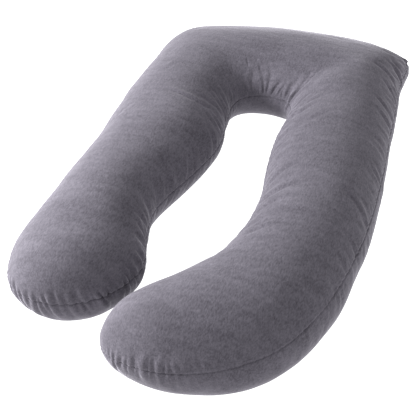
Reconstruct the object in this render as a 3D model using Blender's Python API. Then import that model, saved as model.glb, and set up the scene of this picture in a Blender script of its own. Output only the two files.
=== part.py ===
"""U-shaped body pillow: two U-shaped cloth panels sewn edge to edge and filled.

The pillow lies flat on the floor. +Z is up, +Y points to the closed back bar and +X to
the arm that curls inward at the front. The origin is on the floor, in the middle of the
pillow's box. The shape is worked out from half sections ("ribs"). Each rib runs from the
crown line in the middle of the filled tube, out to the widest line, and back under to
the middle of the flat patch that rests on the floor.
"""
from collections import namedtuple

import bmesh
import bpy
import numpy as np

# Driving sizes, in metres.
LENGTH = 1.45            # front of the curled arm to the back of the bar
WIDTH = 0.78             # outer side of one arm to the outer side of the other
WIDEST_LEVEL = 0.088     # height of the widest line above the floor
SINK = 1.12              # how much deeper the round underside would be if nothing held it up

# How finely the shape is divided.
STEPS_PER_GAP = 4        # ribs between two neighbouring points of the outline
TOP_STEPS = 6            # steps from the crown to the widest line
UNDER_STEPS = 4          # steps from the widest line down to the floor

# One row for each section, from the straight arm's end, round the back, to the curled
# arm's end. The outer and inner points lie on the widest line. `crown` is the height of
# the top, and `taper` is 0.5 for a round edge and more for an edge that thins out.
Section = namedtuple("Section", "outer_x outer_y inner_x inner_y crown taper")
SECTIONS = [
    Section(-0.402, -0.440, -0.086, -0.435, 0.184, 0.50),   # straight arm, end
    Section(-0.399, -0.300, -0.112, -0.320, 0.190, 0.50),
    Section(-0.392, -0.140, -0.128, -0.190, 0.190, 0.50),
    Section(-0.386, 0.010, -0.093, -0.045, 0.192, 0.50),
    Section(-0.390, 0.150, -0.067, 0.090, 0.194, 0.50),     # inward bulge
    Section(-0.388, 0.290, -0.080, 0.205, 0.194, 0.50),
    Section(-0.384, 0.430, -0.087, 0.280, 0.194, 0.50),
    Section(-0.370, 0.555, -0.080, 0.318, 0.194, 0.50),
    Section(-0.320, 0.646, -0.062, 0.342, 0.192, 0.50),     # round back corner
    Section(-0.190, 0.696, -0.038, 0.354, 0.190, 0.50),
    Section(-0.010, 0.719, -0.008, 0.355, 0.190, 0.50),     # middle of the back bar
    Section(0.185, 0.722, 0.020, 0.346, 0.190, 0.50),
    Section(0.344, 0.683, 0.050, 0.334, 0.190, 0.72),       # pointed back corner
    Section(0.349, 0.540, 0.071, 0.303, 0.194, 0.55),
    Section(0.361, 0.400, 0.078, 0.245, 0.194, 0.50),
    Section(0.373, 0.234, 0.073, 0.160, 0.194, 0.50),
    Section(0.388, 0.060, 0.080, 0.040, 0.194, 0.50),
    Section(0.396, -0.110, 0.103, -0.090, 0.194, 0.50),
    Section(0.391, -0.290, 0.100, -0.220, 0.192, 0.50),
    Section(0.367, -0.455, 0.070, -0.330, 0.192, 0.50),
    Section(0.314, -0.592, 0.025, -0.398, 0.192, 0.50),     # curl
    Section(0.222, -0.679, -0.006, -0.440, 0.190, 0.50),
    Section(0.107, -0.721, -0.044, -0.484, 0.184, 0.50),    # curled arm, end
]

# The widest line round each round end, past its last section.
RoundEnd = namedtuple("RoundEnd", "outer_shoulder tip inner_shoulder")
STRAIGHT_END = RoundEnd((-0.354, -0.552), (-0.243, -0.586), (-0.134, -0.539))
CURLED_END = RoundEnd((-0.020, -0.708), (-0.095, -0.656), (-0.093, -0.562))

VELVET_GREY = (0.145, 0.138, 0.165, 1.0)


def clear_scene():
    for thing in list(bpy.data.objects):
        bpy.data.objects.remove(thing, do_unlink=True)


def smooth_loop(points, steps):
    """Rows of numbers on a closed smooth curve through `points`, `steps` to each gap."""
    points = np.array(points, dtype=float)
    made = []
    for gap in range(len(points)):
        a, b, c, d = (points[(gap + shift) % len(points)] for shift in (-1, 0, 1, 2))
        for step in range(steps):
            t = step / steps
            made.append(0.5 * (2 * b + (c - a) * t + (2 * a - 5 * b + 4 * c - d) * t ** 2
                               + (3 * b - a - 3 * c + d) * t ** 3))
    return np.array(made)


def widest_line():
    """(x, y, crown, taper) once round the outline, starting at the straight arm's end."""
    first, last = SECTIONS[0], SECTIONS[-1]
    outer = [(row.outer_x, row.outer_y, row.crown, row.taper) for row in SECTIONS]
    inner = [(row.inner_x, row.inner_y, row.crown, row.taper) for row in reversed(SECTIONS)]
    curled = [(*point, last.crown, last.taper) for point in CURLED_END]
    straight = [(*point, first.crown, first.taper) for point in reversed(STRAIGHT_END)]
    return smooth_loop(outer + curled + inner + straight, STEPS_PER_GAP)


def rib(middle, edge, crown, taper):
    """Points of one rib between its two ends, from the crown over the edge to the floor."""
    across = edge - middle
    points = []
    for step in range(1, TOP_STEPS + 1):
        out = np.sin(0.5 * np.pi * step / TOP_STEPS)
        height = WIDEST_LEVEL + (crown - WIDEST_LEVEL) * max(1 - out ** 2, 0.0) ** taper
        points.append((*(middle + across * out), height))
    # The round underside reaches the floor at this share of the rib's width.
    flat_share = np.sqrt(1 - SINK ** (-1 / taper))
    quarter_turn = 0.5 * np.pi
    for step in range(1, UNDER_STEPS):
        part_way = step / UNDER_STEPS
        out = np.sin(quarter_turn * (1 - part_way) + np.arcsin(flat_share) * part_way)
        height = WIDEST_LEVEL * (1 - SINK * (1 - out ** 2) ** taper)
        points.append((*(middle + across * out), height))
    points.append((*(middle + across * flat_share), 0.0))
    return points


def station_of_each_rib(stations, end_ribs):
    """The station that each rib starts from, once round the outline."""
    last = stations - 1
    outer = list(range(stations))
    inner = list(range(last, -1, -1))
    return outer + [last] * end_ribs + inner + [0] * end_ribs


def make_pillow_mesh():
    line = widest_line()
    stations = (len(SECTIONS) - 1) * STEPS_PER_GAP + 1
    end_ribs = (len(CURLED_END) + 1) * STEPS_PER_GAP - 1
    outer = line[:stations]
    inner = line[stations + end_ribs:][:stations][::-1]
    middles = 0.5 * (outer[:, 0:2] + inner[:, 0:2])
    shape = bmesh.new()
    crowns = [shape.verts.new((*middle, row[2])) for middle, row in zip(middles, outer)]
    floors = [shape.verts.new((*middle, 0.0)) for middle in middles]
    chains = []
    for station, edge in zip(station_of_each_rib(stations, end_ribs), line[:, 0:2]):
        crown, taper = outer[station][2:4]
        points = rib(middles[station], edge, crown, taper)
        between = [shape.verts.new(point) for point in points]
        chains.append([crowns[station]] + between + [floors[station]])
    for here, there in zip(chains, chains[1:] + chains[:1]):
        for step in range(len(here) - 1):
            corners = [here[step], here[step + 1], there[step + 1], there[step]]
            shape.faces.new(list(dict.fromkeys(corners)))
    bmesh.ops.recalc_face_normals(shape, faces=shape.faces)
    mesh = bpy.data.meshes.new("pillow")
    shape.to_mesh(mesh)
    shape.free()
    return mesh


def size_and_centre(mesh):
    """Scale the plan to the driving sizes and put the origin in the middle of the box."""
    points = np.empty(len(mesh.vertices) * 3, dtype=np.float32)
    mesh.vertices.foreach_get("co", points)
    points = points.reshape(-1, 3).astype(float)
    low, high = points.min(axis=0), points.max(axis=0)
    middle = 0.5 * (low + high)
    points[:, 0] = (points[:, 0] - middle[0]) * WIDTH / (high[0] - low[0])
    points[:, 1] = (points[:, 1] - middle[1]) * LENGTH / (high[1] - low[1])
    mesh.vertices.foreach_set("co", points.astype(np.float32).ravel())


def velvet():
    material = bpy.data.materials.new("velvet_cover")
    material.use_nodes = True
    shader = material.node_tree.nodes["Principled BSDF"]
    shader.inputs["Base Color"].default_value = VELVET_GREY
    shader.inputs["Roughness"].default_value = 0.9
    shader.inputs["Metallic"].default_value = 0.0
    return material


def main():
    clear_scene()
    mesh = make_pillow_mesh()
    size_and_centre(mesh)
    mesh.shade_smooth()
    mesh.materials.append(velvet())
    pillow = bpy.data.objects.new("pillow", mesh)
    bpy.context.scene.collection.objects.link(pillow)


main()
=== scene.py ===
"""The looks of a U-shaped velvet body pillow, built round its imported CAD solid.

The cover is one closed mesh of "ribs". A rib runs from the crown line of the filled tube,
out to the panel seam, and back under to the middle of the flat underside. The outline and
the crown line are read from the CAD solid. Gathers, creases and the seam are moves of the
mesh along its normals, and a short run of Blender's cloth along the seam adds folds to them.
Lengths are in metres.
"""
import math
from collections import Counter, namedtuple

import bmesh
import bpy
import numpy as np
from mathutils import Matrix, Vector


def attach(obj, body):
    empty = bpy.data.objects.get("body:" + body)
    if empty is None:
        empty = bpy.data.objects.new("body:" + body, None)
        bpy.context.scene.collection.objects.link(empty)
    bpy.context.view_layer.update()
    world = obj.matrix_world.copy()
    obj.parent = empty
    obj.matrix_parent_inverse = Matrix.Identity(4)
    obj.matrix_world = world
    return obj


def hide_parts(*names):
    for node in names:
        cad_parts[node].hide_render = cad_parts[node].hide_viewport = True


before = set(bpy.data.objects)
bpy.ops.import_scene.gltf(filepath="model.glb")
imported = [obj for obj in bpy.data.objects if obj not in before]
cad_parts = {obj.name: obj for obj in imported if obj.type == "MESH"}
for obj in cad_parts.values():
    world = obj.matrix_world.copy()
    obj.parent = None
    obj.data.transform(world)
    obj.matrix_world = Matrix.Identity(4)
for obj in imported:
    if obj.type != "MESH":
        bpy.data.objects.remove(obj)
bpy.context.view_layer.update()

# How finely the cover is divided.
RIBS_PER_GAP = 6         # fine ribs to each rib of the CAD solid
RIBS_PER_END_GAP = 11    # and round the two ends, where the puckers are finest
TOP_STEPS = 38           # from the crown to the seam
UNDER_STEPS = 22         # from the seam to the middle of the underside
SEAM_STEPS = (0.0011, 0.0024, 0.0042, 0.0068)   # the steps next to the seam
TOP_CROWDING = 0.45      # 0 spaces the other steps evenly, and more crowds them at the seam
UNDER_CROWDING = 0.70
SECTION_SAMPLES = 200    # for measuring along a rib

# The filled section.
SINK = 1.12              # how much deeper the round underside would be if nothing held it up
ROUND_TAPER = 0.50       # a round edge
CORNER_TAPER = 0.22      # how much more the edge thins out at the pointed back corner
CORNER_REACH = 0.07
FLAT_REACH = 0.02        # the underside keeps flat at the floor and is free from this height up

# Camera, aimed at a point inside the pillow.
TARGET = (-0.0098, -0.1510, 0.09)
VIEW_AZIMUTH = 17.70     # degrees, from straight in front towards +X
VIEW_ELEVATION = 37.56
VIEW_DISTANCE = 2.604
LENS_MM = 92.68


# ---------------------------------------------------------------- reading the CAD solid

def cad_graph(node):
    """Points of a CAD node welded together, as (positions, neighbour lists)."""
    shape = bmesh.new()
    shape.from_mesh(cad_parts[node].data)
    bmesh.ops.remove_doubles(shape, verts=shape.verts, dist=1e-5)
    shape.verts.ensure_lookup_table()
    points = np.array([vert.co[:] for vert in shape.verts])
    neighbours = [[edge.other_vert(vert).index for edge in vert.link_edges] for vert in shape.verts]
    shape.free()
    return points, neighbours


def walk(members, neighbours, start):
    """Members in the order in which their edges join them, from `start`."""
    order = [start]
    seen = {start}
    while True:
        following = [n for n in neighbours[order[-1]] if n in members and n not in seen]
        if not following:
            return order
        order.append(following[0])
        seen.add(following[0])


def length_of(line):
    return np.linalg.norm(np.diff(line, axis=0), axis=1).sum()


def read_outline(node):
    """(rim, crown, end_ribs, level): the widest line, the crown line, the ribs round an end.

    The rim comes back in rib order: outer side, curled end, inner side, straight end.
    """
    points, neighbours = cad_graph(node)
    heights = np.round(points[:, 2], 5)
    level = Counter(heights[heights > 0.001]).most_common(1)[0][0]
    rim = set(np.flatnonzero(heights == level))
    seen = set(rim)
    ring = rim
    while True:
        further = {n for i in ring for n in neighbours[i] if heights[n] > level} - seen
        if not further:
            break
        seen |= further
        ring = further
    ends = [i for i in ring if sum(n in ring for n in neighbours[i]) == 1]
    ends.sort(key=lambda i: points[i, 0])
    crown = points[walk(ring, neighbours, ends[0])]
    loop = points[walk(rim, neighbours, min(rim))][:, 0:2]
    end_ribs = (len(loop) - 2 * len(crown)) // 2
    best = None
    for way in (loop, loop[::-1]):
        for shift in range(len(loop)):
            turned = np.roll(way, -shift, axis=0)
            outer = turned[:len(crown)]
            inner = turned[len(crown) + end_ribs:][:len(crown)][::-1]
            miss = np.abs(0.5 * (outer + inner) - crown[:, 0:2]).sum()
            if length_of(outer) > length_of(inner) and (best is None or miss < best[0]):
                best = (miss, turned)
    return best[1], crown, end_ribs, level


def smooth_loop(points, steps):
    """Rows on a closed smooth curve through `points`, with steps[i] to gap i."""
    made = []
    for gap, count in enumerate(steps):
        a, b, c, d = (points[(gap + shift) % len(points)] for shift in (-1, 0, 1, 2))
        t = (np.arange(count) / count)[:, None]
        made.append(0.5 * (2 * b + (c - a) * t + (2 * a - 5 * b + 4 * c - d) * t ** 2
                           + (3 * b - a - 3 * c + d) * t ** 3))
    return np.concatenate(made)


def smooth(values, passes):
    """Values round the loop, averaged with their neighbours again and again."""
    for _ in range(passes):
        values = 0.25 * np.roll(values, 1, axis=0) + 0.5 * values + 0.25 * np.roll(values, -1, axis=0)
    return values


# ---------------------------------------------------------------- the ribs

# How far the panel seam runs above the widest level, at places along the outline, and how
# deep it is drawn in there.
SeamPlace = namedtuple("SeamPlace", "x y lift tuck")
SEAM_PLACES = [
    SeamPlace(-0.38, 0.27, 0.006, 0.0009),     # straight arm, outer side
    SeamPlace(-0.40, -0.29, 0.004, 0.0009),
    SeamPlace(-0.31, -0.575, 0.005, 0.0009),   # its round end
    SeamPlace(-0.18, -0.575, 0.010, 0.0015),
    SeamPlace(-0.135, -0.55, 0.011, 0.0050),
    SeamPlace(-0.105, -0.50, 0.011, 0.0055),
    SeamPlace(-0.095, -0.44, 0.011, 0.0025),
    SeamPlace(-0.11, -0.34, 0.011, 0.0009),
    SeamPlace(-0.09, -0.04, 0.009, 0.0009),
    SeamPlace(-0.09, 0.23, 0.009, 0.0009),     # its inner side
    SeamPlace(-0.03, 0.37, 0.017, 0.0035),
    SeamPlace(0.03, 0.35, 0.023, 0.0040),      # back of the opening
    SeamPlace(0.08, 0.195, 0.035, 0.0009),
    SeamPlace(0.10, -0.08, 0.025, 0.0009),     # curled arm, inner side
    SeamPlace(0.10, -0.22, 0.013, 0.0009),
    SeamPlace(-0.03, -0.46, -0.008, 0.0009),
    SeamPlace(-0.09, -0.575, -0.011, 0.0009),
    SeamPlace(-0.08, -0.68, 0.000, 0.0009),    # tip of the curl
    SeamPlace(0.05, -0.72, 0.019, 0.0009),
    SeamPlace(0.205, -0.67, 0.038, 0.0009),
    SeamPlace(0.32, -0.56, 0.045, 0.0009),     # front of the curl
    SeamPlace(0.37, -0.37, 0.044, 0.0009),
    SeamPlace(0.39, 0.00, 0.030, 0.0009),      # curled arm, outer side
    SeamPlace(0.36, 0.49, 0.022, 0.0009),
    SeamPlace(0.34, 0.66, 0.020, 0.0009),      # pointed back corner
    SeamPlace(-0.01, 0.72, 0.016, 0.0009),
    SeamPlace(-0.32, 0.64, 0.009, 0.0009),     # round back corner
]

rim_cad, crown_cad, end_ribs_cad, LEVEL = read_outline("pillow")
side_gaps = [RIBS_PER_GAP] * (len(crown_cad) - 1)
end_gaps = [RIBS_PER_END_GAP] * (end_ribs_cad + 1)
rim = smooth_loop(rim_cad, side_gaps + end_gaps + side_gaps + end_gaps)
RIBS = len(rim)
STATIONS = (len(crown_cad) - 1) * RIBS_PER_GAP + 1
END_RIBS = (RIBS - 2 * STATIONS) // 2
STEPS = TOP_STEPS + UNDER_STEPS
station = np.concatenate([
    np.arange(STATIONS),
    np.full(END_RIBS, STATIONS - 1),
    np.arange(STATIONS)[::-1],
    np.full(END_RIBS, 0)])


def arc_along(loop):
    """Distance along a closed line, at each of its points, and its whole length."""
    steps = np.linalg.norm(np.roll(loop, -1, axis=0) - loop, axis=1)
    return np.concatenate([[0.0], np.cumsum(steps)[:-1]]), steps.sum()


def steps_from_seam(reach, count, crowding):
    """Distances from the seam, out to `reach`: the fine ones first, then wider and wider."""
    near = np.array((0.0,) + SEAM_STEPS)
    share = np.arange(1, count - len(SEAM_STEPS) + 1) / (count - len(SEAM_STEPS))
    return np.append(near, near[-1] + (reach - near[-1]) * ((1 - crowding) * share + crowding * share ** 2))


def half_sections(lift):
    """Share of the half width, height and distance from the crown, along each rib."""
    corner = rim[np.argmax(rim.sum(axis=1))]
    off_corner = np.hypot(*(rim - corner).T)
    taper = ROUND_TAPER + CORNER_TAPER * np.exp(-(off_corner / CORNER_REACH) ** 2)
    crown = np.interp(np.arange(STATIONS) / RIBS_PER_GAP, np.arange(len(crown_cad)), crown_cad[:, 2])
    middle = 0.5 * (rim[:STATIONS] + rim[STATIONS + END_RIBS:][:STATIONS][::-1])
    sections = []
    for rib in range(RIBS):
        top = crown[station[rib]] - LEVEL
        floor_turn = math.asin(SINK ** (-0.5 / taper[rib]))
        turn = np.linspace(0.5 * math.pi, -floor_turn, SECTION_SAMPLES)
        rise = np.abs(np.sin(turn)) ** (2 * taper[rib])
        out = np.cos(turn)
        height = LEVEL + np.where(turn > 0, top * rise, -SINK * LEVEL * rise)
        out = np.append(out, np.linspace(out[-1], 0, SECTION_SAMPLES // 4)[1:])
        height = np.append(height, np.zeros(SECTION_SAMPLES // 4 - 1))
        half_width = np.linalg.norm(rim[rib] - middle[station[rib]])
        travel = np.hypot(np.diff(out) * half_width, np.diff(height))
        run = np.concatenate([[0], np.cumsum(travel)])
        seam_run = np.interp(-(LEVEL + lift[rib]), -height[:SECTION_SAMPLES], run[:SECTION_SAMPLES])
        above = seam_run - steps_from_seam(seam_run, TOP_STEPS, TOP_CROWDING)[::-1]
        below = seam_run + steps_from_seam(run[-1] - seam_run, UNDER_STEPS, UNDER_CROWDING)
        at = np.concatenate([above, below[1:]])
        sections.append((np.interp(at, run, out), np.interp(at, run, height), at - seam_run))
    out, height, past_seam = (np.array(part) for part in zip(*sections))
    points = np.empty((RIBS, STEPS + 1, 3))
    centre = middle[station][:, None, :]
    points[:, :, 0:2] = centre + (rim[:, None, :] - centre) * out[:, :, None]
    points[:, :, 2] = height
    return points, past_seam


def surface_normals(points):
    """Outward unit normals of the grid of ribs."""
    along = np.roll(points, -1, axis=0) - np.roll(points, 1, axis=0)
    down = np.empty_like(points)
    down[:, 1:-1] = points[:, 2:] - points[:, :-2]
    down[:, 0] = points[:, 1] - points[:, 0]
    down[:, -1] = points[:, -1] - points[:, -2]
    normals = np.cross(along, down)
    size = np.linalg.norm(normals, axis=2, keepdims=True)
    normals /= np.maximum(size, 1e-12)
    normals[:, 0] = (0, 0, 1)
    normals[:, -1] = (0, 0, -1)
    return normals


# ---------------------------------------------------------------- puckers and creases

# How the slack cloth gathers along the seam. `depth` is the deepest valley, `spacing` the
# distance from valley to valley, `above` and `below` how far they reach on each panel,
# `start` how far off the seam they begin, and `lean` their shift along the seam for each
# metre up, positive the way the ribs run.
Gather = namedtuple("Gather", "x y depth spacing above below start lean")
GATHERS = [
    Gather(-0.39, 0.15, 0.0011, 0.030, 0.060, 0.040, 0.004, 0.2),    # straight arm, outer side
    Gather(-0.40, -0.25, 0.0016, 0.024, 0.050, 0.045, 0.002, 0.2),
    Gather(-0.38, -0.48, 0.0050, 0.017, 0.034, 0.050, 0.000, 0.3),
    Gather(-0.30, -0.58, 0.0070, 0.017, 0.030, 0.055, 0.000, 0.4),   # its round end
    Gather(-0.18, -0.575, 0.0090, 0.017, 0.032, 0.055, 0.000, 0.4),
    Gather(-0.12, -0.54, 0.0115, 0.017, 0.048, 0.050, 0.000, 0.3),
    Gather(-0.09, -0.45, 0.0100, 0.015, 0.060, 0.040, 0.000, 0.1),
    Gather(-0.11, -0.33, 0.0068, 0.013, 0.070, 0.035, 0.004, -0.2),  # its inner side
    Gather(-0.13, -0.19, 0.0062, 0.014, 0.080, 0.030, 0.010, -0.3),
    Gather(-0.10, -0.08, 0.0080, 0.012, 0.070, 0.030, 0.002, -0.9),
    Gather(-0.07, 0.08, 0.0052, 0.013, 0.065, 0.030, 0.004, -0.3),
    Gather(-0.09, 0.25, 0.0050, 0.013, 0.090, 0.030, 0.006, -0.2),
    Gather(-0.03, 0.37, 0.0055, 0.0105, 0.065, 0.025, 0.014, 0.0),    # back of the opening
    Gather(0.04, 0.35, 0.0065, 0.0105, 0.085, 0.025, 0.014, 0.0),
    Gather(0.08, 0.18, 0.0056, 0.015, 0.110, 0.025, 0.010, 0.3),
    Gather(0.10, -0.10, 0.0060, 0.016, 0.110, 0.030, 0.012, 0.6),    # curled arm, inner side
    Gather(0.07, -0.33, 0.0052, 0.016, 0.090, 0.030, 0.010, 0.6),
    Gather(-0.03, -0.46, 0.0022, 0.020, 0.050, 0.040, 0.004, 0.3),
    Gather(-0.09, -0.58, 0.0040, 0.016, 0.034, 0.035, 0.000, 0.2),   # tip of the curl
    Gather(-0.05, -0.70, 0.0052, 0.017, 0.036, 0.038, 0.000, 0.2),
    Gather(0.07, -0.72, 0.0072, 0.016, 0.038, 0.040, 0.000, 0.1),
    Gather(0.20, -0.67, 0.0050, 0.016, 0.036, 0.035, 0.000, 0.0),    # front of the curl
    Gather(0.33, -0.54, 0.0036, 0.016, 0.045, 0.040, 0.000, -0.2),
    Gather(0.39, -0.25, 0.0043, 0.015, 0.060, 0.045, 0.003, -0.5),   # curled arm, outer side
    Gather(0.39, 0.10, 0.0046, 0.015, 0.065, 0.040, 0.004, -0.5),
    Gather(0.36, 0.45, 0.0054, 0.014, 0.075, 0.040, 0.002, -0.3),
    Gather(0.34, 0.66, 0.0062, 0.014, 0.085, 0.040, 0.000, 0.0),     # pointed back corner
    Gather(0.18, 0.72, 0.0025, 0.018, 0.060, 0.040, 0.003, 0.2),     # back bar
    Gather(-0.15, 0.71, 0.0018, 0.022, 0.050, 0.040, 0.004, 0.0),
    Gather(-0.33, 0.62, 0.0029, 0.017, 0.050, 0.040, 0.002, 0.0),    # round back corner
    Gather(-0.38, 0.45, 0.0018, 0.024, 0.050, 0.040, 0.004, 0.0),
]
VALLEY_WIDTH = 0.26      # of the spacing, at the seam
VALLEY_SPREAD = 0.045    # a valley is twice as wide this far from the seam
PUFF_SHARE = 0.50        # of the depth by which the cloth between valleys stands proud
VALLEY_WINDOW = 0.12     # a valley is worked out this far along the seam on each side of it

# Smoothing passes between the places of the tables.
LIFT_PASSES = 900
TUCK_PASSES = 30
GATHER_PASSES = 60


def by_place(places, columns, along, around, passes):
    """Values of a table's columns at each rib, smoothly between the table's places."""
    spots = []
    for place in places:
        nearest = np.argmin(np.hypot(rim[:, 0] - place.x, rim[:, 1] - place.y))
        spots.append((along[nearest],) + tuple(getattr(place, column) for column in columns))
    spots = np.array(sorted(spots))
    level = [np.interp(along, spots[:, 0], spots[:, 1 + i], period=around) for i in range(len(columns))]
    return smooth(np.stack(level, axis=1), passes).T


def ease(low, high, values):
    """0 below `low`, 1 above `high`, and smooth between."""
    t = np.clip((values - low) / np.maximum(high - low, 1e-9), 0, 1)
    return t * t * (3 - 2 * t)


def puckers(along, around, past_seam, rng):
    """Height of the gathered cloth, over the grid."""
    columns = ("depth", "spacing", "above", "below", "start", "lean")
    depth, spacing, above, below, start, lean = by_place(GATHERS, columns, along, around, GATHER_PASSES)
    height = np.zeros_like(past_seam)
    at = 0.0
    while at < around:
        rib = int(np.searchsorted(along, at)) % RIBS
        strength = depth[rib] * rng.uniform(0.40, 1.15)
        reach_up = above[rib] * rng.uniform(0.45, 1.5)
        reach_down = below[rib] * rng.uniform(0.45, 1.5)
        width = VALLEY_WIDTH * spacing[rib] * rng.uniform(0.7, 1.3)
        tilt = lean[rib] + rng.uniform(-0.22, 0.22)
        bend = rng.uniform(-2.0, 2.0)
        window = (np.abs((along - at + 0.5 * around) % around - 0.5 * around) < VALLEY_WINDOW).nonzero()[0]
        gap = past_seam[window]
        off = (along[window][:, None] - at + 0.5 * around) % around - 0.5 * around
        away = np.abs(gap)
        off = off + tilt * gap + bend * gap * away
        across = off / (width * (1 + away / VALLEY_SPREAD))
        valley = np.exp(-np.sqrt(across ** 2 + 0.12) + np.sqrt(0.12))
        reach = np.where(gap < 0, reach_up, reach_down)
        fade = (1 - ease(0.25 * reach, reach, away)) * ease(start[rib] - 0.012, start[rib] + 0.006, away)
        height[window] += strength * fade * (PUFF_SHARE * np.exp(-(across / 3.5) ** 2) - valley)
        at += spacing[rib] * rng.uniform(0.6, 1.45)
    return height


# Single creases, each a curve over three points of the cover. A ridge runs beside the
# valley, on its left when one looks from the first point to the last.
Crease = namedtuple("Crease", "first halfway last depth width")
CREASES = [
    # Straight arm: arched over its inner shoulder, where the arm meets the back bar.
    Crease((-0.235, 0.190, 0.193), (-0.155, 0.177, 0.184), (-0.105, 0.182, 0.158), 0.0034, 0.0060),
    Crease((-0.170, 0.215, 0.186), (-0.115, 0.210, 0.160), (-0.076, 0.206, 0.100), 0.0038, 0.0055),
    Crease((-0.140, 0.252, 0.172), (-0.095, 0.228, 0.140), (-0.074, 0.211, 0.095), 0.0034, 0.0045),
    Crease((-0.105, 0.165, 0.158), (-0.078, 0.151, 0.129), (-0.067, 0.159, 0.088), 0.0025, 0.0045),
    Crease((-0.120, 0.155, 0.168), (-0.090, 0.134, 0.147), (-0.069, 0.120, 0.115), 0.0025, 0.0045),
    Crease((-0.125, 0.130, 0.172), (-0.095, 0.110, 0.152), (-0.068, 0.085, 0.115), 0.0022, 0.0045),
    Crease((-0.275, 0.290, 0.188), (-0.263, 0.316, 0.190), (-0.250, 0.335, 0.191), 0.0022, 0.0050),
    Crease((-0.305, 0.110, 0.175), (-0.320, 0.075, 0.168), (-0.330, 0.040, 0.160), 0.0020, 0.0055),
    # A fan from the back corner of the opening.
    Crease((0.063, 0.325, 0.100), (0.078, 0.345, 0.125), (0.105, 0.375, 0.152), 0.0035, 0.0050),
    Crease((0.090, 0.215, 0.130), (0.100, 0.275, 0.150), (0.140, 0.330, 0.176), 0.0024, 0.0055),
    Crease((0.098, 0.170, 0.145), (0.118, 0.245, 0.162), (0.180, 0.300, 0.188), 0.0022, 0.0065),
    Crease((0.105, 0.085, 0.153), (0.142, 0.146, 0.176), (0.220, 0.225, 0.193), 0.0016, 0.0070),
    # Curled arm: diagonals over its inner shoulder.
    Crease((0.085, 0.095, 0.122), (0.110, 0.130, 0.152), (0.150, 0.150, 0.176), 0.0028, 0.0055),
    Crease((0.115, -0.090, 0.135), (0.140, -0.052, 0.160), (0.178, -0.020, 0.181), 0.0030, 0.0055),
    Crease((0.125, -0.155, 0.140), (0.160, -0.125, 0.169), (0.212, -0.105, 0.188), 0.0030, 0.0060),
    Crease((0.125, -0.205, 0.140), (0.156, -0.179, 0.167), (0.205, -0.163, 0.186), 0.0030, 0.0060),
    Crease((0.125, -0.310, 0.155), (0.152, -0.288, 0.171), (0.192, -0.278, 0.186), 0.0028, 0.0060),
    # Curled arm: down its outer shoulder.
    Crease((0.300, -0.090, 0.186), (0.352, -0.125, 0.158), (0.384, -0.165, 0.118), 0.0035, 0.0065),
    Crease((0.345, -0.235, 0.160), (0.373, -0.256, 0.132), (0.384, -0.270, 0.105), 0.0030, 0.0055),
    Crease((0.300, 0.305, 0.172), (0.342, 0.286, 0.140), (0.362, 0.270, 0.100), 0.0030, 0.0055),
    Crease((0.285, 0.360, 0.178), (0.326, 0.339, 0.155), (0.357, 0.318, 0.112), 0.0032, 0.0055),
    # Round the pointed back corner.
    Crease((0.295, 0.460, 0.170), (0.332, 0.434, 0.142), (0.354, 0.418, 0.108), 0.0034, 0.0055),
    Crease((0.240, 0.525, 0.188), (0.295, 0.505, 0.167), (0.338, 0.480, 0.128), 0.0036, 0.0060),
    Crease((0.285, 0.565, 0.165), (0.325, 0.553, 0.134), (0.347, 0.545, 0.095), 0.0034, 0.0055),
]
CURVE_POINTS = 33


def crease_height(points, normals):
    """Height of the single creases, over the grid."""
    height = np.zeros(points.shape[:2])
    share = np.linspace(0, 1, CURVE_POINTS)[:, None]
    for crease in CREASES:
        first, halfway, last = (np.array(place) for place in (crease.first, crease.halfway, crease.last))
        bend = 2 * halfway - 0.5 * (first + last)
        curve = (1 - share) ** 2 * first + 2 * share * (1 - share) * bend + share ** 2 * last
        reach = 6 * crease.width
        inside = ((points > curve.min(axis=0) - reach) & (points < curve.max(axis=0) + reach)).all(axis=2)
        place, normal = points[inside], normals[inside]
        apart = place[:, None, :] - curve[None, :, :]
        nearest = np.argmin((apart ** 2).sum(axis=2), axis=1)
        offset = apart[np.arange(len(place)), nearest]
        offset -= normal * (offset * normal).sum(axis=1)[:, None]
        heading = np.gradient(curve, axis=0)[nearest]
        left = np.cross(normal, heading)
        side = np.sign((offset * left).sum(axis=1))
        across = side * np.linalg.norm(offset, axis=1) / crease.width
        fade = np.sin(math.pi * np.clip(share[nearest, 0], 0.02, 0.98)) ** 0.6
        valley = np.exp(-np.abs(across + 0.7) ** 1.5)
        ridge = 0.8 * np.exp(-((across - 1.0) / 1.1) ** 2)
        height[inside] += crease.depth * fade * (ridge - valley)
    return height


GROOVE_DEPTH = 0.0012
GROOVE_WIDTH = 0.0013
LIP_HEIGHT = 0.0005
LIP_OFF_SEAM = 0.0040
LIP_WIDTH = 0.0020
TUCK_WIDTH = 0.009


def seam_height(past_seam, tuck):
    """The stitched groove between the panels, with a low lip on each side."""
    off_seam = np.abs(past_seam)
    groove = GROOVE_DEPTH * np.exp(-(past_seam / GROOVE_WIDTH) ** 2)
    lip = LIP_HEIGHT * np.exp(-((off_seam - LIP_OFF_SEAM) / LIP_WIDTH) ** 2)
    drawn_in = tuck[:, None] * np.exp(-off_seam / TUCK_WIDTH)
    return lip - groove - drawn_in


# Where the filling is fuller or slacker than the CAD solid. `reach` is the distance at
# which little of it is left.
Swell = namedtuple("Swell", "x y z height reach")
SWELLS = [
    Swell(-0.24, -0.57, 0.035, 0.006, 0.10),       # under the straight arm's end
    Swell(-0.12, -0.26, 0.090, -0.005, 0.10),      # straight arm, inner side
    Swell(0.00, -0.69, 0.040, -0.005, 0.09),       # under the curl
    Swell(0.10, -0.69, 0.040, -0.005, 0.09),
    Swell(-0.10, -0.62, 0.080, -0.003, 0.07),      # tip of the curl
]


def swell_height(points):
    height = np.zeros(points.shape[:2])
    for swell in SWELLS:
        apart = np.linalg.norm(points - (swell.x, swell.y, swell.z), axis=2)
        height += swell.height * np.exp(-2 * (apart / swell.reach) ** 2)
    return height


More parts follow.
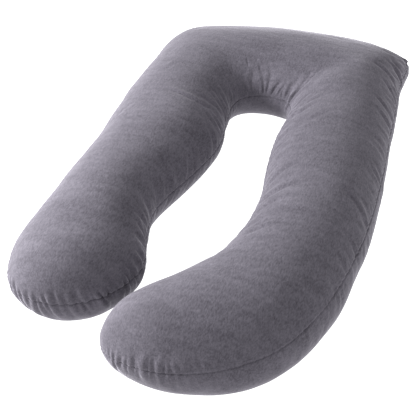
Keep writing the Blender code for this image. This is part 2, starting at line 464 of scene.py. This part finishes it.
# The folded nub of cloth at the pointed back corner, in the middle of a slight hollow.
NUB_TOWARD = (0.95, 0.25, -0.10)
NUB_LENGTH = 0.014
NUB_RADII = (0.012, 0.009)       # along the floor, and upright
HOLLOW_DEPTH = 0.004
HOLLOW_RADIUS = 0.035


def nub_move(points):
    """How far the grid moves at the pointed back corner."""
    seam = points[:, TOP_STEPS]
    apart = points - seam[np.argmax(seam[:, 0] + seam[:, 1])]
    flat = np.linalg.norm(apart[:, :, 0:2], axis=2)
    nub = np.exp(-(flat / NUB_RADII[0]) ** 2 - (apart[:, :, 2] / NUB_RADII[1]) ** 2)
    hollow = np.exp(-(np.linalg.norm(apart, axis=2) / HOLLOW_RADIUS) ** 2)
    return (NUB_LENGTH * nub - HOLLOW_DEPTH * hollow)[:, :, None] * np.array(NUB_TOWARD)


LUMP_WAVES = 40
LUMP_LENGTHS = (0.10, 0.30)      # shortest and longest wave
LUMP_HEIGHT = 0.0002             # of one wave


def lumps(points, rng):
    """Broad unevenness of the filling."""
    height = np.zeros(points.shape[:2])
    for _ in range(LUMP_WAVES):
        toward = rng.standard_normal(3)
        toward /= np.linalg.norm(toward)
        wave = 2 * math.pi / rng.uniform(*LUMP_LENGTHS)
        height += np.sin(points @ toward * wave + rng.uniform(0, 2 * math.pi))
    return LUMP_HEIGHT * height


def make_cover_mesh(points):
    """One closed mesh from the grid: ribs share their crown point and their floor point."""
    numbers = np.empty((RIBS, STEPS + 1), dtype=int)
    numbers[:, 0] = station
    numbers[:, -1] = STATIONS + station
    numbers[:, 1:-1] = 2 * STATIONS + np.arange(RIBS * (STEPS - 1)).reshape(RIBS, STEPS - 1)
    places = np.zeros((numbers.max() + 1, 3))
    np.add.at(places, numbers.ravel(), points.reshape(-1, 3))
    places /= np.bincount(numbers.ravel())[:, None]
    there = np.roll(numbers, -1, axis=0)
    corners = np.stack([numbers[:, :-1], there[:, :-1], there[:, 1:], numbers[:, 1:]], axis=2)
    faces = [list(dict.fromkeys(face)) for face in corners.reshape(-1, 4).tolist()]
    mesh = bpy.data.meshes.new("velvet_pillow")
    mesh.from_pydata(places, [], faces)
    mesh.update()
    mesh.shade_smooth()
    return mesh


# ---------------------------------------------------------------- settling the cloth

# A short run of Blender's cloth: the band of cloth along the seam is let out a little and
# blown up, so that it folds by itself. Its broad movement is taken away again, because the
# pillow keeps the size of its CAD solid, and its folds are kept.
BAND_ABOVE = 29          # steps of the grid on each side of the seam
BAND_BELOW = 16
HELD_STEPS = 2           # steps at each edge of the band that stay where they are
SETTLE_FRAMES = 9
SLACK = 0.08             # how much the cloth is let out where it gathers most
SLACK_REACH = 0.070
PRESSURE = 4.0
POINT_MASS = 0.0005
BENDING = 0.1
CLOTH_QUALITY = 3        # steps to a frame
BROAD_PASSES = 150       # smoothing that tells broad movement from folds
FOLD_GAIN = 1.6
MOST_FOLD = 0.006        # the cloth's folds move no point further than this


def weight_group(piece, name, weights):
    """A vertex group with weights rounded to twentieths."""
    group = piece.vertex_groups.new(name=name)
    parts = np.round(weights * 20).astype(int)
    for part in range(1, 21):
        members = np.flatnonzero(parts == part).tolist()
        if members:
            group.add(members, part / 20, "REPLACE")
    return name


def band_of_cloth(band):
    """The band of the grid as an object of its own."""
    numbers = np.arange(band.shape[0] * band.shape[1]).reshape(band.shape[:2])
    there = np.roll(numbers, -1, axis=0)
    faces = np.stack([numbers[:, :-1], there[:, :-1], there[:, 1:], numbers[:, 1:]], axis=2)
    mesh = bpy.data.meshes.new("settling")
    mesh.from_pydata(band.reshape(-1, 3), [], faces.reshape(-1, 4).tolist())
    mesh.update()
    piece = bpy.data.objects.new("settling", mesh)
    bpy.context.scene.collection.objects.link(piece)
    return piece


def add_cloth(piece, held, slack):
    cloth = piece.modifiers.new("cloth", "CLOTH")
    cloth.collision_settings.use_collision = False
    setting = cloth.settings
    setting.vertex_group_mass = weight_group(piece, "held", held.ravel())
    setting.vertex_group_shrink = weight_group(piece, "slack", slack.ravel())
    setting.shrink_min = 0.0
    setting.shrink_max = -SLACK
    setting.use_pressure = True
    setting.uniform_pressure_force = PRESSURE
    setting.effector_weights.gravity = 0
    setting.quality = CLOTH_QUALITY
    setting.mass = POINT_MASS
    setting.bending_stiffness = BENDING


def run_cloth(piece, size):
    """The places of the piece's points after the run. The piece is removed."""
    scene = bpy.context.scene
    for step in range(1, SETTLE_FRAMES + 1):
        scene.frame_set(step)
    graph = bpy.context.evaluated_depsgraph_get()
    settled = np.empty(size, dtype=np.float32)
    piece.evaluated_get(graph).data.vertices.foreach_get("co", settled)
    scene.frame_set(1)
    bpy.data.objects.remove(piece)
    return settled


def settle(points, past_seam, along, around):
    """The grid of points with the folds that Blender's cloth adds to it."""
    columns = slice(TOP_STEPS - BAND_ABOVE, TOP_STEPS + BAND_BELOW + 1)
    band = points[:, columns]
    depth = by_place(GATHERS, ("depth",), along, around, GATHER_PASSES)[0]
    slack = np.sqrt(depth / depth.max())[:, None] * np.exp(-(past_seam[:, columns] / SLACK_REACH) ** 2)
    held = np.zeros(band.shape[:2])
    held[:, :HELD_STEPS] = 1
    held[:, -HELD_STEPS:] = 1
    piece = band_of_cloth(band)
    add_cloth(piece, held, slack)
    move = run_cloth(piece, band.size).reshape(band.shape) - band
    folds = FOLD_GAIN * (move - smooth(move, BROAD_PASSES))
    size = np.linalg.norm(folds, axis=2, keepdims=True)
    folds *= np.minimum(1, MOST_FOLD / np.maximum(size, 1e-9))
    made = points.copy()
    made[:, columns] += folds
    return made


# ---------------------------------------------------------------- material, floor and light

def add_nodes(material):
    material.use_nodes = True
    tree = material.node_tree
    return tree, tree.nodes["Principled BSDF"]


def node(tree, kind, **settings):
    made = tree.nodes.new(kind)
    for name, value in settings.items():
        setattr(made, name, value)
    return made


def noise(tree, coordinates, layer):
    """Noise stretched along the axes, as its output socket."""
    mapping = node(tree, "ShaderNodeMapping")
    mapping.inputs["Scale"].default_value = layer.stretch
    tree.links.new(coordinates, mapping.inputs["Vector"])
    made = node(tree, "ShaderNodeTexNoise")
    made.inputs["Scale"].default_value = layer.scale
    made.inputs["Detail"].default_value = layer.detail
    made.inputs["Roughness"].default_value = layer.roughness
    tree.links.new(mapping.outputs["Vector"], made.inputs["Vector"])
    return made.outputs["Fac"]


def blend_sum(tree, parts):
    """The weighted sum of sockets, from (socket, weight) pairs, around zero."""
    total = None
    for socket, weight in parts:
        scaled = node(tree, "ShaderNodeMath", operation="MULTIPLY_ADD")
        tree.links.new(socket, scaled.inputs[0])
        scaled.inputs[1].default_value = weight
        scaled.inputs[2].default_value = -0.5 * weight
        if total is None:
            total = scaled.outputs[0]
            continue
        added = node(tree, "ShaderNodeMath", operation="ADD")
        tree.links.new(total, added.inputs[0])
        tree.links.new(scaled.outputs[0], added.inputs[1])
        total = added.outputs[0]
    return total


# The velvet: short nap that lies along +Y, brushed here and there across the tube. Each
# layer is noise, with its weight in the colour and in the relief.
Layer = namedtuple("Layer", "stretch scale detail roughness shade relief")
LAYERS = [
    Layer((1.0, 0.35, 1.0), 330.0, 2.0, 0.6, 1.50, 0.6),    # nap
    Layer((1.0, 0.45, 1.0), 130.0, 2.0, 0.6, 0.65, 0.8),    # tufts
    Layer((0.28, 1.1, 0.5), 42.0, 3.0, 0.6, 0.80, 1.8),     # brushed streaks
    Layer((0.7, 1.0, 0.7), 11.0, 3.0, 0.5, 0.45, 0.0),      # soft clouds
]
NAP_DARK = (0.056, 0.051, 0.065, 1)
NAP_LIGHT = (0.140, 0.130, 0.157, 1)
SHEEN_TINT = (0.94, 0.91, 1.0, 1)


def velvet():
    material = bpy.data.materials.new("velvet_cover")
    tree, shader = add_nodes(material)
    place = node(tree, "ShaderNodeTexCoord").outputs["Object"]
    fields = [noise(tree, place, layer) for layer in LAYERS]
    shade = blend_sum(tree, [(field, layer.shade) for field, layer in zip(fields, LAYERS)])
    lift = node(tree, "ShaderNodeMath", operation="ADD")
    tree.links.new(shade, lift.inputs[0])
    lift.inputs[1].default_value = 0.5
    lift.use_clamp = True
    colour = node(tree, "ShaderNodeMix", data_type="RGBA")
    tree.links.new(lift.outputs[0], colour.inputs["Factor"])
    colour.inputs["A"].default_value = NAP_DARK
    colour.inputs["B"].default_value = NAP_LIGHT
    tree.links.new(colour.outputs["Result"], shader.inputs["Base Color"])
    relief = blend_sum(tree, [(field, layer.relief) for field, layer in zip(fields, LAYERS) if layer.relief])
    bump = node(tree, "ShaderNodeBump")
    bump.inputs["Strength"].default_value = 0.6
    bump.inputs["Distance"].default_value = 0.0012
    tree.links.new(relief, bump.inputs["Height"])
    tree.links.new(bump.outputs["Normal"], shader.inputs["Normal"])
    shader.inputs["Roughness"].default_value = 0.85
    shader.inputs["Specular IOR Level"].default_value = 0.25
    shader.inputs["Sheen Weight"].default_value = 0.4
    shader.inputs["Sheen Roughness"].default_value = 0.35
    shader.inputs["Sheen Tint"].default_value = SHEEN_TINT
    return material


FLOOR_REACH = 8.0
FLOOR_GREY = (0.30, 0.30, 0.30, 1)
FLOOR_GLOW = 1.25        # bright enough to read as the photo's plain white
WHITE = (1, 1, 1, 1)
SKY_STRENGTH = 0.76
KEY_PLACE = (-2.75, -0.45, 1.25)
KEY_SIZE = 1.2
KEY_WATTS = 225


def add_floor():
    mesh = bpy.data.meshes.new("floor")
    corners = [(x * FLOOR_REACH, y * FLOOR_REACH, 0) for x, y in ((-1, -1), (1, -1), (1, 1), (-1, 1))]
    mesh.from_pydata(corners, [], [(0, 1, 2, 3)])
    floor = bpy.data.objects.new("floor", mesh)
    bpy.context.scene.collection.objects.link(floor)
    material = bpy.data.materials.new("pale_floor")
    tree, shader = add_nodes(material)
    shader.inputs["Base Color"].default_value = FLOOR_GREY
    shader.inputs["Roughness"].default_value = 0.95
    shader.inputs["Emission Color"].default_value = WHITE
    shader.inputs["Emission Strength"].default_value = FLOOR_GLOW
    mesh.materials.append(material)


def add_light(name, place, size, watts):
    lamp = bpy.data.lights.new(name, "AREA")
    lamp.shape = "DISK"
    lamp.size = size
    lamp.energy = watts
    light = bpy.data.objects.new(name, lamp)
    light.location = place
    light.rotation_euler = (Vector(TARGET) - Vector(place)).to_track_quat("-Z", "Y").to_euler()
    bpy.context.scene.collection.objects.link(light)


def add_studio():
    scene = bpy.context.scene
    scene.view_settings.view_transform = "Standard"
    world = bpy.data.worlds.new("studio")
    world.use_nodes = True
    world.node_tree.nodes["Background"].inputs["Color"].default_value = WHITE
    world.node_tree.nodes["Background"].inputs["Strength"].default_value = SKY_STRENGTH
    scene.world = world
    add_light("key", KEY_PLACE, KEY_SIZE, KEY_WATTS)


def add_camera():
    azimuth, elevation = math.radians(VIEW_AZIMUTH), math.radians(VIEW_ELEVATION)
    away = Vector((math.sin(azimuth) * math.cos(elevation),
                   -math.cos(azimuth) * math.cos(elevation), math.sin(elevation)))
    camera = bpy.data.objects.new("camera", bpy.data.cameras.new("camera"))
    camera.data.lens = LENS_MM
    camera.location = Vector(TARGET) + VIEW_DISTANCE * away
    camera.rotation_euler = (-away).to_track_quat("-Z", "Y").to_euler()
    bpy.context.scene.collection.objects.link(camera)
    bpy.context.scene.camera = camera


# ---------------------------------------------------------------- putting it together

SEED = 11


def make_pillow():
    along, around = arc_along(rim)
    rng = np.random.default_rng(SEED)
    lift = by_place(SEAM_PLACES, ("lift",), along, around, LIFT_PASSES)[0]
    points, past_seam = half_sections(lift)
    normals = surface_normals(points)
    tuck = by_place(SEAM_PLACES, ("tuck",), along, around, TUCK_PASSES)[0]
    height = puckers(along, around, past_seam, rng) + seam_height(past_seam, tuck)
    height += crease_height(points, normals) + swell_height(points)
    off_floor = ease(0.0, FLAT_REACH, points[:, :, 2])
    points += normals * ((height + lumps(points, rng)) * off_floor)[:, :, None]
    points += nub_move(points)
    points = settle(points, past_seam, along, around)
    pillow = bpy.data.objects.new("velvet_pillow", make_cover_mesh(points))
    pillow.data.materials.append(velvet())
    bpy.context.scene.collection.objects.link(pillow)
    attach(pillow, "root")
    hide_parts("pillow")


make_pillow()
add_floor()
add_studio()
add_camera()
